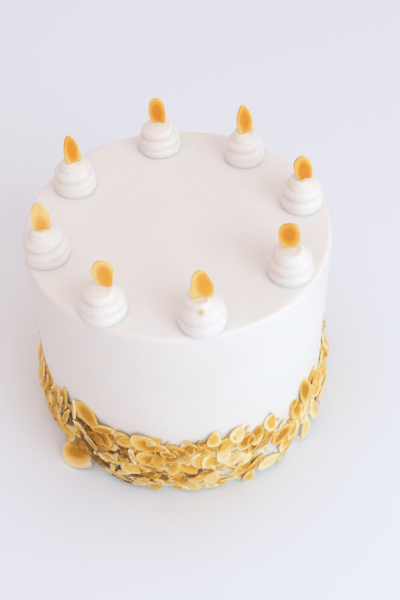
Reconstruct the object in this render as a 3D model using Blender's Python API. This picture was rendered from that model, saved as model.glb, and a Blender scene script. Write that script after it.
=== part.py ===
"""A small single-tier wedding cake: a tall round cake iced smooth with white buttercream,
a deep ragged band of toasted sliced almonds pressed round its foot, and a ring of eight
piped buttercream dollops on top, each with one upright almond slice.

Units are metres, +Z is up, and the origin is the centre of the cake's flat underside.
The camera side of the real cake is -Y, and azimuths are counted from +X towards +Y.
"""

import math
import random

import bmesh
import bpy
import numpy as np
from mathutils import Matrix, Vector

# The iced cake: a 6 inch tin plus about 5 mm of buttercream all round
CAKE_RADIUS = 0.081
CAKE_HEIGHT = 0.125
TOP_EDGE_RADIUS = 0.0022
CAKE_SEGMENTS = 64
EDGE_STEPS = 3
ICING_LINE = 0.062  # an edge loop just above the almonds

# What touches without being one piece keeps this gap
GAP = 0.0003

# The almond slices of the band: 8-sided plates, thin as a kitchen slicer cuts them
SLICE_COUNT = 168
SLICE_SEED = 4
SLICE_LENGTH = 0.0168
SLICE_WIDTH = 0.0088
SLICE_THICKNESS = 0.0013
SLICE_SIDES = 8
SIZE_SPREAD = 0.16
EGG_SKEW = 0.26  # how much broader the blunt end is than the pointed one
BAND_LOW = 0.0045
BAND_HIGH = 0.0410
BAND_JITTER = 0.0035
ORDER_JITTER = 0.016  # the lower slices go on first, within this much height
PRESSED_IN = 0.00045  # how far a slice sinks into what it is pressed against
FOLLOW = 0.75  # share of the slope beneath that a slice takes up
LEAN_BACK = -0.10  # their faces look a little upwards
LEAN_SPREAD = 0.12
TURN_SPREAD = math.radians(40)
PROUD_AT_FOOT = 0.0044  # how far out the inner face of a slice may be
PROUD_AT_TOP = 0.0012
PROUD_HEIGHT = 0.045
FLOOR_CLEAR = 0.0002

# The slices that stand out in the photograph, pressed on last: azimuth in degrees, height in mm,
# turn in degrees (0 lies along the wall, 90 stands up), length and width in mm
SHOWN_SLICES = (
    (-167, 49, 95, 13, 6), (-165, 36, 85, 19, 9), (-152, 37, 80, 19, 8), (-143, 46, 88, 17, 7),
    (-143, 31, 65, 18, 7), (-141, 19, 78, 20, 8), (-130, 47, -33, 19, 11), (-133, 28, -5, 17, 10),
    (-122, 43, 4, 15, 6), (-121, 33, -8, 14, 10), (-121, 22, 0, 13, 8), (-114, 41, -10, 12, 8),
    (-105, 42, -17, 19, 10.5), (-110, 31, -87, 14, 6), (-104, 29, -19, 17, 9), (-109, 20, 9, 20, 9),
    (-111, 10, 10, 20, 9), (-96, 29, -82, 19, 11), (-94, 11, -50, 15, 10), (-90, 36, -86, 17, 8),
    (-86, 29, -80, 17, 9), (-80, 45, 80, 10.5, 7.5), (-80, 29, 30, 17, 12), (-79, 6, -2, 16, 9),
    (-75, 39, 25, 14, 9), (-71, 45, 50, 11, 8), (-68, 36, 40, 12, 8), (-68, 17, 16, 18, 10),
    (-60, 29, 28, 18, 9), (-57, 42, 70, 10.5, 8.5), (-51, 25, 18, 17, 10), (-44, 36, 84, 14, 7),
    (-46, 22, 80, 15, 8), (-37, 43, 92, 18, 10), (-38, 26, 88, 18, 10), (-22, 34, 70, 18, 9),
    (-12, 14, 85, 20, 9), (-73, 26, 20, 13, 8), (-64, 14, 5, 14, 8), (-67, 6, 75, 12, 7),
    (-58, 9, 20, 15, 9), (-49, 9, 40, 18, 10), (-37, 10, 80, 16, 9), (-28, 12, 95, 17, 9),
    (-20, 14, 75, 16, 8), (-63, 37, 60, 12, 7.5), (-86, 37, -15, 14, 7.5), (-10, 43, 85, 14, 7),
)
SHOWN_THINNING = 3  # under them, every third slice of the rule is left out

# The slices that lean out at the foot: azimuth, height in mm, lean and turn in degrees, distance
# out in mm, and how many lie stacked there
FALLEN_SLICES = ((-137, 5.8, 58, 24, 4.4, 2), (20, 4.8, 50, 6, 2.8, 1), (112, 4.8, 46, -7, 2.6, 1))
FALLEN_LENGTH = 0.0195
FALLEN_WIDTH = 0.0120
STACK_STEP = (0.0010, -0.0030, -0.00105)

# Even spacing of points over a rectangle, from the plastic number
PLASTIC = 1.32471795724474602596
STEP_AROUND = 1 / PLASTIC
STEP_UP = 1 / PLASTIC**2

# A dollop: a rope of buttercream piped in a rising coil that closes at the top
DOLLOP_RADIUS = 0.0117
DOLLOP_FOOT = 0.0106
COIL_PITCH = 0.0056
COIL_CREASE = 0.0012
COIL_DOME = 2.3  # exponent of the dome that the coil fills
COIL_SEGMENTS = 16
COIL_ROWS = 3

# The almond slice on each dollop
TOPPER_THICKNESS = 0.0014
TOPPER_SIDES = 14
TOPPER_BURIED = 0.0024

# Each dollop as it was piped, in mm and degrees: azimuth, distance from the middle, girth (a
# factor), height, turn of the coil's start; then its almond: height of its foot and of its tip
# above the cake, width, facing, lean to the right, offset to the right, and whether the point is up
DOLLOPS = (
    (96.5, 67.0, 1.05, 17.2, 20, 14.5, 32.2, 9.3, -92, -6, 0.4, False),
    (53.6, 66.5, 0.97, 17.6, 100, 16.0, 34.6, 9.0, -66, -8, 0.9, True),
    (11.0, 68.0, 1.00, 17.2, 160, 13.9, 30.6, 9.2, -70, -15, 1.9, False),
    (-35.2, 67.4, 1.01, 18.0, 250, 17.0, 32.0, 10.6, -96, -6, -0.8, False),
    (-81.9, 69.7, 1.04, 17.4, 200, 15.0, 33.6, 10.6, -88, -4, 0.4, True),
    (-122.2, 69.8, 1.02, 17.6, 310, 16.4, 32.8, 9.8, -95, -4, 2.4, False),
    (-164.1, 69.2, 1.01, 18.6, 60, 17.2, 34.6, 9.4, -84, -1, -0.3, True),
    (147.4, 64.4, 1.01, 17.2, 120, 14.2, 33.2, 8.6, -58, -6, 1.2, True),
)


def clear_scene():
    for thing in list(bpy.data.objects):
        bpy.data.objects.remove(thing)


def make_material(name, colour, roughness):
    material = bpy.data.materials.new(name)
    material.use_nodes = True
    shader = material.node_tree.nodes["Principled BSDF"]
    shader.inputs["Base Color"].default_value = (*colour, 1.0)
    shader.inputs["Roughness"].default_value = roughness
    return material


def add_object(name, shape, material, collection=None):
    """A new object from a bmesh, smooth where it is round."""
    mesh = bpy.data.meshes.new(name)
    shape.to_mesh(mesh)
    shape.free()
    mesh.materials.append(material)
    mesh.shade_smooth()
    mesh.set_sharp_from_angle(angle=math.radians(35))
    thing = bpy.data.objects.new(name, mesh)
    (collection or bpy.context.scene.collection).objects.link(thing)
    return thing


def iced_body():
    """The cake turned from its profile: flat foot, straight wall, softly rounded top edge."""
    inner = CAKE_RADIUS - TOP_EDGE_RADIUS
    shoulder = CAKE_HEIGHT - TOP_EDGE_RADIUS
    profile = [(0, 0), (CAKE_RADIUS, 0), (CAKE_RADIUS, ICING_LINE)]
    for step in range(EDGE_STEPS + 1):
        angle = math.pi / 2 * step / EDGE_STEPS
        across = inner + TOP_EDGE_RADIUS * math.cos(angle)
        profile.append((across, shoulder + TOP_EDGE_RADIUS * math.sin(angle)))
    profile.append((0, CAKE_HEIGHT))
    shape = bmesh.new()
    points = [shape.verts.new((across, 0, up)) for across, up in profile]
    edges = [shape.edges.new(pair) for pair in zip(points, points[1:])]
    bmesh.ops.spin(
        shape, geom=points + edges, cent=(0, 0, 0), axis=(0, 0, 1),
        angle=2 * math.pi, steps=CAKE_SEGMENTS, use_merge=True,
    )
    bmesh.ops.remove_doubles(shape, verts=shape.verts[:], dist=1e-6)
    bmesh.ops.recalc_face_normals(shape, faces=shape.faces[:])
    return shape


def egg_outline(length, width, sides):
    """An almond's outline, its point towards +X."""
    outline = []
    for k in range(sides):
        angle = 2 * math.pi * k / sides
        half_width = width / 2 * math.sin(angle) * (1 - EGG_SKEW * math.cos(angle))
        outline.append((length / 2 * math.cos(angle), half_width))
    return outline


def almond_slice(length, width, thickness, sides, place):
    """A flat slice of almond, from its inner face outwards along the place's Z."""
    shape = bmesh.new()
    ring = [shape.verts.new((x, y, 0)) for x, y in egg_outline(length, width, sides)]
    face = shape.faces.new(ring)
    raised = bmesh.ops.extrude_face_region(shape, geom=[face])["geom"]
    top = [item for item in raised if isinstance(item, bmesh.types.BMVert)]
    bmesh.ops.translate(shape, verts=top, vec=(0, 0, thickness))
    bmesh.ops.recalc_face_normals(shape, faces=shape.faces[:])
    bmesh.ops.transform(shape, matrix=place, verts=shape.verts[:])
    return shape


class Wall:
    """How far the almonds already stand out from the cake's wall, over a grid unrolled from it."""

    CELL = 0.0010
    REACH_UP = 0.075

    def __init__(self):
        self.around = round(2 * math.pi * CAKE_RADIUS / self.CELL)
        self.step = 2 * math.pi * CAKE_RADIUS / self.around
        self.proud = np.zeros((self.around, round(self.REACH_UP / self.CELL)))

    def under(self, azimuth, height, turn, length, width):
        """The grid cells beneath a slice, and their offsets along the wall and up it."""
        reach = int(length / 2 / self.CELL) + 2
        span = np.arange(-reach, reach + 1)
        across, up = np.meshgrid(span, span, indexing="ij")
        column = round(azimuth * CAKE_RADIUS / self.step)
        row = int(height / self.CELL)
        along = (column + across) * self.step - azimuth * CAKE_RADIUS
        rise = (row + up + 0.5) * self.CELL - height
        x = along * math.cos(turn) + rise * math.sin(turn)
        y = -along * math.sin(turn) + rise * math.cos(turn)
        limit = 1 - (2 * x / length) ** 2
        inside = (limit > 0) & (row + up >= 0) & (row + up < self.proud.shape[1])
        half = width / 2 * np.sqrt(np.maximum(limit, 0)) * (1 - EGG_SKEW * 2 * x / length)
        inside &= np.abs(y) < half
        cells = ((column + across[inside]) % self.around, row + up[inside])
        return cells, along[inside], rise[inside]

    def settle(self, azimuth, height, turn, length, width, lean):
        """Presses a slice on, no prouder than it may be, and returns its offset and two slopes."""
        cells, along, rise = self.under(azimuth, height, turn, length, width)
        falls_away = along**2 / (2 * CAKE_RADIUS)
        bed = self.proud[cells] - falls_away
        design = np.column_stack([np.ones_like(along), along, rise])
        _, slope_along, slope_up = np.linalg.lstsq(design, bed, rcond=None)[0] * FOLLOW
        slope_along = float(slope_along) + lean[0]
        slope_up = float(slope_up) + lean[1]
        resting = float((bed - slope_along * along - slope_up * rise).max()) - PRESSED_IN
        share = min(1.0, height / PROUD_HEIGHT)
        offset = min(resting, PROUD_AT_FOOT + (PROUD_AT_TOP - PROUD_AT_FOOT) * share)
        outer = offset + slope_along * along + slope_up * rise + SLICE_THICKNESS + falls_away
        self.proud[cells] = np.maximum(self.proud[cells], outer)
        return offset, slope_along, slope_up


def wall_frame(azimuth, height, turn, plane):
    """The matrix of a slice on the wall: X along the slice, Z out of its face."""
    offset, slope_along, slope_up = plane
    out = Vector((math.cos(azimuth), math.sin(azimuth), 0))
    along = Vector((-math.sin(azimuth), math.cos(azimuth), 0))
    up = Vector((0, 0, 1))
    normal = (out - slope_along * along - slope_up * up).normalized()
    lengthways = math.cos(turn) * along + math.sin(turn) * up
    lengthways = (lengthways - lengthways.dot(normal) * normal).normalized()
    sideways = normal.cross(lengthways)
    centre = out * (CAKE_RADIUS + offset) + up * height
    return Matrix.Translation(centre) @ Matrix((lengthways, sideways, normal)).transposed().to_4x4()


def above_floor(length, width, place):
    """The place, lifted if any of the slice's inner face would be below the cake's foot."""
    lowest = min((place @ Vector((x, y, 0))).z for x, y in egg_outline(length, width, SLICE_SIDES))
    return Matrix.Translation((0, 0, max(0.0, FLOOR_CLEAR - lowest))) @ place


def rule_slices(draw):
    """Azimuth, height, turn, size and lean of slices spread evenly round the band, lowest first."""
    drawn = []
    for index in range(SLICE_COUNT):
        size = 1 + draw.uniform(-SIZE_SPREAD, SIZE_SPREAD)
        length = SLICE_LENGTH * size
        width = SLICE_WIDTH * (size + draw.uniform(-SIZE_SPREAD, SIZE_SPREAD))
        azimuth = 2 * math.pi * ((index + 0.5) * STEP_AROUND % 1) - math.pi
        height = BAND_LOW + (BAND_HIGH - BAND_LOW) * ((index + 0.5) * STEP_UP % 1)
        height += draw.uniform(-BAND_JITTER, BAND_JITTER)
        turn = draw.gauss(0, TURN_SPREAD) + math.pi * draw.randrange(2)
        lean = (draw.gauss(0, LEAN_SPREAD / 2), draw.gauss(LEAN_BACK, LEAN_SPREAD))
        order = height + draw.uniform(-ORDER_JITTER, ORDER_JITTER)
        half_rise = abs(math.sin(turn)) * length / 2 + abs(math.cos(turn)) * width / 2
        height = max(height, half_rise + FLOOR_CLEAR)
        seen = SHOWN_SLICES[0][0] < math.degrees(azimuth) < SHOWN_SLICES[-1][0]
        if index % SHOWN_THINNING or not seen:
            drawn.append((order, azimuth, height, turn, length, width, lean))
    return [values[1:] for values in sorted(drawn)]


def shown_slices(draw):
    """The slices read from the photograph, in the same terms."""
    shown = []
    for azimuth, height, turn, length, width in SHOWN_SLICES:
        lean = (draw.gauss(0, LEAN_SPREAD / 4), draw.gauss(LEAN_BACK, LEAN_SPREAD / 4))
        sizes = (length / 1000, width / 1000, lean)
        shown.append((math.radians(azimuth), height / 1000, math.radians(turn), *sizes))
    return shown


def band_slices():
    """Sizes and places of all the almond slices of the band, in the order they were pressed on."""
    draw = random.Random(SLICE_SEED)
    wall = Wall()
    placed = []
    for azimuth, height, turn, length, width, lean in rule_slices(draw) + shown_slices(draw):
        plane = wall.settle(azimuth, height, turn, length, width, lean)
        place = wall_frame(azimuth, height, turn, plane)
        placed.append((length, width, above_floor(length, width, place)))
    for azimuth, height, lean, turn, out, stacked in FALLEN_SLICES:
        plane = (out / 1000, 0.0, -math.tan(math.radians(lean)))
        place = wall_frame(math.radians(azimuth), height / 1000, math.radians(turn), plane)
        for _ in range(stacked):
            placed.append((FALLEN_LENGTH, FALLEN_WIDTH, above_floor(FALLEN_LENGTH, FALLEN_WIDTH, place)))
            place = place @ Matrix.Translation(STACK_STEP)
    return placed


def largest_shell(shape):
    """Keeps the outermost shell of a bmesh: sealed hollows and loose scraps go."""
    unseen = set(shape.faces)
    shells = []
    while unseen:
        shell, front = set(), [unseen.pop()]
        while front:
            face = front.pop()
            shell.add(face)
            for edge in face.edges:
                for other in edge.link_faces:
                    if other in unseen:
                        unseen.remove(other)
                        front.append(other)
        shells.append(shell)
    shells.sort(key=len)
    for shell in shells[:-1]:
        bmesh.ops.delete(shape, geom=list(shell), context="FACES")


def make_cake(buttercream):
    """The iced cake with the almond band fused to its wall, as one solid."""
    cake = add_object("iced_cake", iced_body(), buttercream)
    helpers = bpy.data.collections.new("almond_band")
    bpy.context.scene.collection.children.link(helpers)
    for length, width, place in band_slices():
        shape = almond_slice(length, width, SLICE_THICKNESS, SLICE_SIDES, place)
        add_object("band_slice", shape, buttercream, helpers)
    fuse = cake.modifiers.new("almond_band", "BOOLEAN")
    fuse.operation = "UNION"
    fuse.solver = "EXACT"
    fuse.operand_type = "COLLECTION"
    fuse.collection = helpers
    bpy.context.view_layer.update()
    evaluated = cake.evaluated_get(bpy.context.evaluated_depsgraph_get())
    fused = bmesh.new()
    fused.from_mesh(evaluated.to_mesh())
    evaluated.to_mesh_clear()
    cake.modifiers.clear()
    for piece in list(helpers.objects):
        bpy.data.objects.remove(piece)
    bpy.data.collections.remove(helpers)
    largest_shell(fused)
    bmesh.ops.triangulate(fused, faces=fused.faces[:])
    fused.to_mesh(cake.data)
    fused.free()
    cake.data.shade_smooth()
    cake.data.set_sharp_from_angle(angle=math.radians(35))


def dollop(girth, top):
    """A coil of piped buttercream, skinned along its rising crease. Its foot is flat at z = 0."""
    shape = bmesh.new()
    columns = math.ceil((top / COIL_PITCH + 1) * COIL_SEGMENTS)

    def point(column, row):
        angle = 2 * math.pi * column / COIL_SEGMENTS
        height = COIL_PITCH * (column / COIL_SEGMENTS + row / COIL_ROWS - 1)
        if height >= top:
            return Vector((0, 0, top))
        radius = DOLLOP_FOOT * girth
        if height > 0:
            dome = DOLLOP_RADIUS * girth * math.sqrt(1 - (height / top) ** COIL_DOME)
            creased = COIL_CREASE * (1 - math.sin(math.pi * row / COIL_ROWS))
            radius = max(dome - creased * min(1.0, dome / DOLLOP_FOOT), 0.0004)
        return Vector((radius * math.cos(angle), radius * math.sin(angle), max(height, 0.0)))

    for column in range(columns):
        for row in range(COIL_ROWS):
            corners = [(column, row), (column + 1, row), (column + 1, row + 1), (column, row + 1)]
            shape.faces.new([shape.verts.new(point(*corner)) for corner in corners])
    bmesh.ops.remove_doubles(shape, verts=shape.verts[:], dist=2e-5)
    bmesh.ops.dissolve_degenerate(shape, edges=shape.edges[:], dist=1e-5)
    rim = [edge for edge in shape.edges if edge.is_boundary]
    bmesh.ops.holes_fill(shape, edges=rim, sides=0)
    bmesh.ops.triangulate(shape, faces=shape.faces[:])
    bmesh.ops.recalc_face_normals(shape, faces=shape.faces[:])
    return shape


def topper_place(x, y, foot, tip, facing, lean, point_up):
    """The matrix of an upright slice that shows from foot to tip, with the rest sunk in its dollop."""
    middle = (tip - TOPPER_BURIED - foot) / 2
    upright = Matrix.Rotation(-math.pi / 2, 4, "Y")  # the slice's length, X, turned up
    if not point_up:
        upright = upright @ Matrix.Rotation(math.pi, 4, "Z")
    stood = Matrix.Translation((TOPPER_THICKNESS / 2, 0, middle)) @ upright
    turned = Matrix.Rotation(math.radians(facing), 4, "Z") @ stood
    leaned = Matrix.Rotation(math.radians(lean), 4, "Y") @ turned
    return Matrix.Translation((x, y, CAKE_HEIGHT + GAP + foot)) @ leaned


def make_dollop(number, spec, buttercream, almond):
    azimuth, distance, girth, top, start, foot, tip, width, facing, lean, aside, point_up = spec
    x = distance / 1000 * math.cos(math.radians(azimuth))
    y = distance / 1000 * math.sin(math.radians(azimuth))
    shape = dollop(girth, top / 1000)
    stand = Matrix.Translation((x, y, CAKE_HEIGHT + GAP)) @ Matrix.Rotation(math.radians(start), 4, "Z")
    bmesh.ops.transform(shape, matrix=stand, verts=shape.verts[:])
    mound = add_object(f"dollop_{number}", shape, buttercream)

    length = (tip - foot) / 1000 + TOPPER_BURIED
    width = width / 1000
    place = topper_place(x + aside / 1000, y, foot / 1000, tip / 1000, facing, lean, point_up)
    stuck_in = almond_slice(length, width, TOPPER_THICKNESS, TOPPER_SIDES, place)
    add_object(f"topper_almond_{number}", stuck_in, almond)

    clear = place @ Matrix.Translation((0, 0, -GAP))
    room = 2 * GAP
    slot = almond_slice(length + room, width + room, TOPPER_THICKNESS + room, TOPPER_SIDES, clear)
    cutter = add_object(f"slot_cutter_{number}", slot, almond)
    cutter.hide_render = True
    cutter.display_type = "WIRE"
    cut = mound.modifiers.new("almond_slot", "BOOLEAN")
    cut.operation = "DIFFERENCE"
    cut.solver = "EXACT"
    cut.object = cutter


def main():
    clear_scene()
    buttercream = make_material("buttercream", (0.93, 0.90, 0.88), 0.45)
    almond = make_material("toasted_almond", (0.86, 0.58, 0.24), 0.5)
    make_cake(buttercream)
    for number, spec in enumerate(DOLLOPS, start=1):
        make_dollop(number, spec, buttercream, almond)


main()
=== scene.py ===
"""The looks of the single-tier wedding cake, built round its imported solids.

Smooth white buttercream, a ragged band of toasted sliced almonds pressed round the foot, and
eight piped dollops on top with an almond slice stood in each. Units are metres and +Z is up.
"""

import copy
import math
import random

import bmesh
import bpy
import numpy as np
from mathutils import Matrix, Vector, noise


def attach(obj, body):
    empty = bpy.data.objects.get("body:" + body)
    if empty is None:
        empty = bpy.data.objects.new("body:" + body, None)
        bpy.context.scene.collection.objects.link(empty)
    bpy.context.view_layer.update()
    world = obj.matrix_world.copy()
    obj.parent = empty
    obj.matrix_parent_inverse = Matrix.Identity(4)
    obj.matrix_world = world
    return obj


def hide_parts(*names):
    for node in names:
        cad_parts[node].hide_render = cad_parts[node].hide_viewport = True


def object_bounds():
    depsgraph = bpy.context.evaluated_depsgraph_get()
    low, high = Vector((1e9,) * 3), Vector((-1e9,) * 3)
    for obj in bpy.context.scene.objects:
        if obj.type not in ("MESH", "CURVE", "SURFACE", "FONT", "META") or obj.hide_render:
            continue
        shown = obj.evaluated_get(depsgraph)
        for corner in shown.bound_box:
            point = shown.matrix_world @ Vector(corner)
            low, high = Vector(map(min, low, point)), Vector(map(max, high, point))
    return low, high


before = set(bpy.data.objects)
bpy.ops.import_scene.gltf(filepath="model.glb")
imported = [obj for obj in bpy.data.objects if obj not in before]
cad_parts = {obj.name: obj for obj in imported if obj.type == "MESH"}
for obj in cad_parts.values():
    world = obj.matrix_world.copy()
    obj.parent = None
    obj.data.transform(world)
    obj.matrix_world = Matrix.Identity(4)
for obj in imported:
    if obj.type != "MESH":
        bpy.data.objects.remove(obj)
cad_low, cad_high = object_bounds()


# The view and the light: a camera looking well down on the cake, one big soft cool window to the
# front right, a dim cool ceiling, and a warm pale room all round. The floor is plain and only a stage.
CAMERA_PLACE = Vector((0.0, -0.3804, 0.4705))
CAMERA_LENS = 58.69
CAMERA_SENSOR = 36.0
CAMERA_PAN = math.radians(1.658)
CAMERA_DOWN = math.radians(46.736)
CAMERA_ROLL = math.radians(-1.448)

ROOM_COLOUR = (1.0, 0.82, 0.765)
ROOM_STRENGTH = 0.69
WINDOW_COLOUR = (0.58, 0.845, 1.0)
WINDOW_POWER = 18.0
WINDOW_SIZE = 1.5
WINDOW_PLACE = Vector((1.186, -1.318, 0.95))
CEILING_COLOUR = (0.56, 0.80, 1.0)
CEILING_POWER = 7.5
CEILING_SIZE = 2.0
CEILING_PLACE = Vector((0.0, 0.1, 1.7))
FLOOR_COLOUR = (0.90, 0.94, 1.0)
FLOOR_HALF = 3.0
LIT_SPOT = Vector((0.0, 0.0, 0.06))

camera = bpy.data.objects.new("camera", bpy.data.cameras.new("camera"))
camera.data.lens = CAMERA_LENS
camera.data.sensor_width = CAMERA_SENSOR
ahead = Vector((
    math.sin(CAMERA_PAN) * math.cos(CAMERA_DOWN),
    math.cos(CAMERA_PAN) * math.cos(CAMERA_DOWN),
    -math.sin(CAMERA_DOWN),
))
level = Vector((math.cos(CAMERA_PAN), -math.sin(CAMERA_PAN), 0.0))
above = level.cross(ahead)
across = level * math.cos(CAMERA_ROLL) + above * math.sin(CAMERA_ROLL)
upright = above * math.cos(CAMERA_ROLL) - level * math.sin(CAMERA_ROLL)
camera_axes = Matrix((across, upright, -ahead)).transposed().to_4x4()
camera.matrix_world = Matrix.Translation(CAMERA_PLACE) @ camera_axes
bpy.context.scene.collection.objects.link(camera)
bpy.context.scene.camera = camera
bpy.context.scene.view_settings.view_transform = "Standard"

room = bpy.data.worlds.new("room")
room.use_nodes = True
room.node_tree.nodes["Background"].inputs["Color"].default_value = (*ROOM_COLOUR, 1.0)
room.node_tree.nodes["Background"].inputs["Strength"].default_value = ROOM_STRENGTH
bpy.context.scene.world = room

for name, colour, power, size, place in (
    ("window", WINDOW_COLOUR, WINDOW_POWER, WINDOW_SIZE, WINDOW_PLACE),
    ("ceiling", CEILING_COLOUR, CEILING_POWER, CEILING_SIZE, CEILING_PLACE),
):
    lamp = bpy.data.objects.new(name, bpy.data.lights.new(name, "AREA"))
    lamp.data.shape = "SQUARE"
    lamp.data.size = size
    lamp.data.energy = power
    lamp.data.color = colour
    facing = (LIT_SPOT - place).to_track_quat("-Z", "Y").to_matrix().to_4x4()
    lamp.matrix_world = Matrix.Translation(place) @ facing
    bpy.context.scene.collection.objects.link(lamp)


class Wire:
    """One value in a material's nodes. Arithmetic on wires adds Math nodes; node() adds any other."""

    def __init__(self, tree, output=None):
        self.tree = tree
        self.output = output

    def node(self, kind, settings, values, output=0):
        """A node of this kind, with its settings made first, then its sockets' values or wires."""
        made = self.tree.nodes.new(kind)
        for name, setting in settings.items():
            setattr(made, name, setting)
        for name, value in values.items():
            if isinstance(value, Wire):
                self.tree.links.new(value.output, made.inputs[name])
            elif isinstance(value, tuple) and len(value) == 3 and made.inputs[name].type == "RGBA":
                made.inputs[name].default_value = (*value, 1.0)
            else:
                made.inputs[name].default_value = value
        return Wire(self.tree, made.outputs[output])

    def maths(self, operation, first, second):
        return self.node("ShaderNodeMath", {"operation": operation}, {0: first, 1: second})

    def __add__(self, other):
        return self.maths("ADD", self, other)

    __radd__ = __add__

    def __sub__(self, other):
        return self.maths("SUBTRACT", self, other)

    def __rsub__(self, other):
        return self.maths("SUBTRACT", other, self)

    def __mul__(self, other):
        return self.maths("MULTIPLY", self, other)

    __rmul__ = __mul__

    def noise(self, scale, detail=2.0, shift=0.0):
        """Soft noise from 0 to 1, over this position. Another shift gives another pattern."""
        values = {"Vector": self, "Scale": scale, "Detail": detail, "W": shift}
        return self.node("ShaderNodeTexNoise", {"noise_dimensions": "4D"}, values)

    def fade(self, start, end):
        """A smooth step of this value: 0 before start, 1 after end."""
        values = {"Value": self, "From Min": start, "From Max": end}
        return self.node("ShaderNodeMapRange", {"interpolation_type": "SMOOTHSTEP"}, values)

    def blend(self, first, second):
        """Two colours mixed by this mask."""
        settings = {"data_type": "RGBA", "clamp_factor": True}
        return self.node("ShaderNodeMix", settings, {0: self, 6: first, 7: second}, 2)


def new_material(name):
    """A material with only its Principled shader, and a wire to start from."""
    material = bpy.data.materials.new(name)
    material.use_nodes = True
    shader = material.node_tree.nodes["Principled BSDF"]
    return material, shader, Wire(material.node_tree)


def plug(wire, socket):
    wire.tree.links.new(wire.output, socket)


def add_piece(name, shape, material):
    """A finished bmesh as an object at the origin, smooth-shaded."""
    mesh = bpy.data.meshes.new(name)
    shape.to_mesh(mesh)
    shape.free()
    mesh.materials.append(material)
    mesh.shade_smooth()
    piece = bpy.data.objects.new(name, mesh)
    bpy.context.scene.collection.objects.link(piece)
    return piece


floor_paint, shader, _ = new_material("floor_paint")
shader.inputs["Base Color"].default_value = (*FLOOR_COLOUR, 1.0)
shader.inputs["Roughness"].default_value = 0.9
shader.inputs["Specular IOR Level"].default_value = 0.1
floor_shape = bmesh.new()
bmesh.ops.create_grid(floor_shape, x_segments=1, y_segments=1, size=FLOOR_HALF)
floor = add_piece("floor", floor_shape, floor_paint)


# The iced cake: layers of sponge, crumb-coated and then smoothed with a tall scraper and a
# palette knife in white buttercream. The wall is near plumb and the top edge is only just eased.
# It is turned from a profile, then made as slightly uneven as a hand-scraped coat is.
CAKE_RADIUS = 0.081
CAKE_HEIGHT = 0.125
EDGE_RADIUS = 0.0022
BODY_SEGMENTS = 360
WALL_ROWS = 110
EDGE_ROWS = 7
TOP_ROWS = 26
UNDERSIDE_ROWS = 3

# How uneven the coat is, how many waves it has in a metre, and where each unevenness fades out
WALL_UNEVEN = 0.00028
WALL_WAVES = 42
WALL_FROM = 0.074
WALL_FADE = 0.005
FOOT_FADE = 0.010
TOP_UNEVEN = 0.00030
TOP_WAVES = 38
SWIRL_WAVES = 70
TOP_INSET = 0.004
TOP_FADE = 0.010
EDGE_UNEVEN = 0.00035
EDGE_WAVES = 60
EDGE_REACH = 0.007
FOOT_FLAT = 0.001  # lower than this, it stays evenly round
INWARD_AT_WALL = 0.35  # the scraper has taken off more than it left, by these shares
INWARD_AT_EDGE = 0.4
INWARD_AT_TOP = 0.4
MERGE = 1e-6

BUTTERCREAM_WHITE = (0.915, 0.882, 0.850)
BUTTERCREAM_WARM = (0.900, 0.860, 0.822)
BUTTERCREAM_CLOUDS = 28.0
BUTTERCREAM_GRAIN = 420.0
BUTTERCREAM_RELIEF = 0.00035
BUTTERCREAM_DEPTH = 0.0024
BUTTERCREAM_THROUGH = 0.45
SCRAPED_LINES = (14.0, 14.0, 220.0)  # the grain runs round the cake, as the scraper did

buttercream, shader, wire = new_material("buttercream")
place = wire.node("ShaderNodeTexCoord", {}, {}, "Object")
clouds = place.noise(BUTTERCREAM_CLOUDS, 3.0).fade(0.35, 0.70)
plug(clouds.blend(BUTTERCREAM_WHITE, BUTTERCREAM_WARM), shader.inputs["Base Color"])
scraped = wire.node("ShaderNodeMapping", {}, {"Vector": place, "Scale": SCRAPED_LINES})
grain = place.noise(BUTTERCREAM_GRAIN, 3.0) * 0.35 + scraped.noise(3.0, 4.0) * 0.65
plug(grain.fade(0.2, 0.9) * 0.16 + 0.42, shader.inputs["Roughness"])
relief = {"Strength": 0.35, "Distance": BUTTERCREAM_RELIEF, "Height": grain}
plug(wire.node("ShaderNodeBump", {}, relief), shader.inputs["Normal"])
shader.inputs["Subsurface Weight"].default_value = BUTTERCREAM_THROUGH
shader.inputs["Subsurface Radius"].default_value = (1.0, 0.45, 0.22)
shader.inputs["Subsurface Scale"].default_value = BUTTERCREAM_DEPTH
shader.inputs["Specular IOR Level"].default_value = 0.4

body = bmesh.new()
profile = [(0.0, 0.0)]
profile += [(CAKE_RADIUS * row / UNDERSIDE_ROWS, 0.0) for row in range(1, UNDERSIDE_ROWS + 1)]
shoulder = CAKE_HEIGHT - EDGE_RADIUS
profile += [(CAKE_RADIUS, shoulder * row / WALL_ROWS) for row in range(1, WALL_ROWS + 1)]
for row in range(1, EDGE_ROWS + 1):
    angle = math.pi / 2 * row / EDGE_ROWS
    profile.append((
        CAKE_RADIUS - EDGE_RADIUS * (1 - math.cos(angle)), shoulder + EDGE_RADIUS * math.sin(angle)
    ))
inner = CAKE_RADIUS - EDGE_RADIUS
profile += [(inner * (1 - row / TOP_ROWS), CAKE_HEIGHT) for row in range(1, TOP_ROWS + 1)]
points = [body.verts.new((x, 0.0, z)) for x, z in profile]
outline = [body.edges.new(pair) for pair in zip(points, points[1:])]
bmesh.ops.spin(
    body, geom=points + outline, cent=(0, 0, 0), axis=(0, 0, 1),
    angle=2 * math.pi, steps=BODY_SEGMENTS, use_merge=True,
)
bmesh.ops.remove_doubles(body, verts=body.verts[:], dist=MERGE)
bmesh.ops.recalc_face_normals(body, faces=body.faces[:])
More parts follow.
